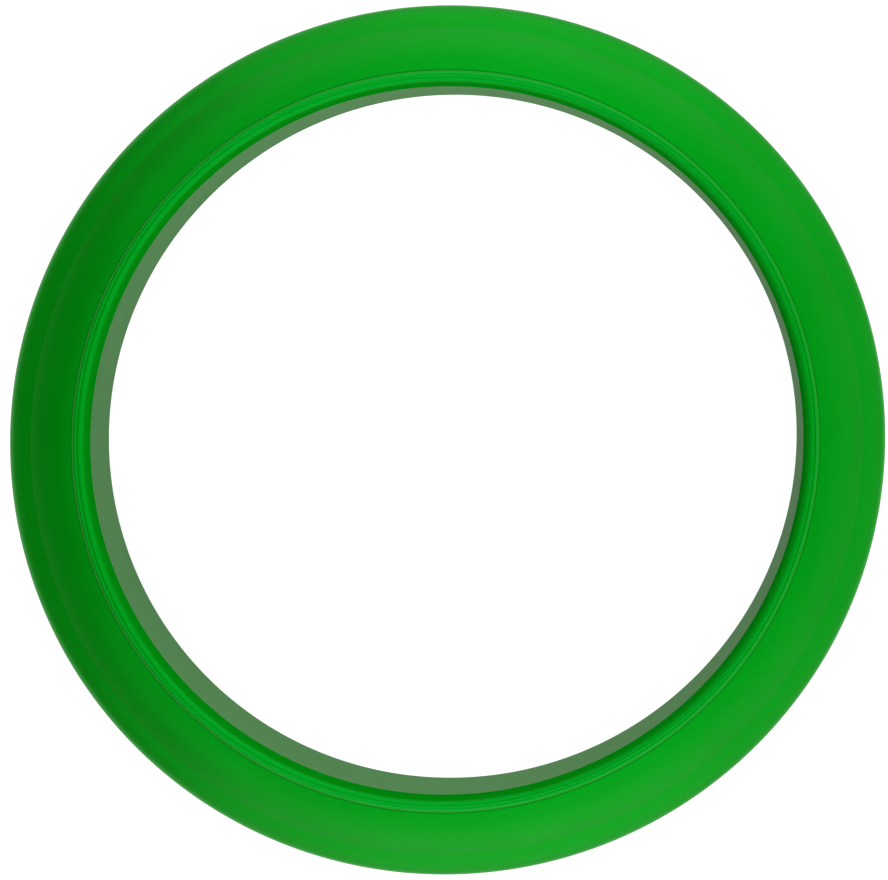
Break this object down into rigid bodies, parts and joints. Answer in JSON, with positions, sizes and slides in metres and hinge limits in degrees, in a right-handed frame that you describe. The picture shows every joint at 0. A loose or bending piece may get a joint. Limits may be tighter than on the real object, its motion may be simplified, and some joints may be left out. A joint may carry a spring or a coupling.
{
  "type": "string vibration dampener",
  "caption": "Ring-shaped racket string dampener with a wide open centre, a groove around the outside for the strings and a stiff lined bore.",
  "frame": {"origin": "centre of the rear rest land's plane, on the ring's axis", "axes": "+Z along the ring's axis towards the front face; +X towards the string seat on the right, -X towards the one on the left; the strings run parallel to Y"},
  "size_m": [0.022, 0.022, 0.0052],
  "materials": {
    "green_ring": "satin moulded elastomer, saturated green",
    "green_clip": "satin moulded plastic, the same green",
    "soft_band": "matt soft elastomer, slightly darker green",
    "liner": "matt grey-green moulded plastic"
  },
  "bodies": {
    "root": {"bore_liner": "liner", "string_band": "soft_band", "front_ring": "green_ring", "rear_ring": "green_ring", "front_bead": "green_clip", "rear_bead": "green_clip"}
  },
  "joints": []
}
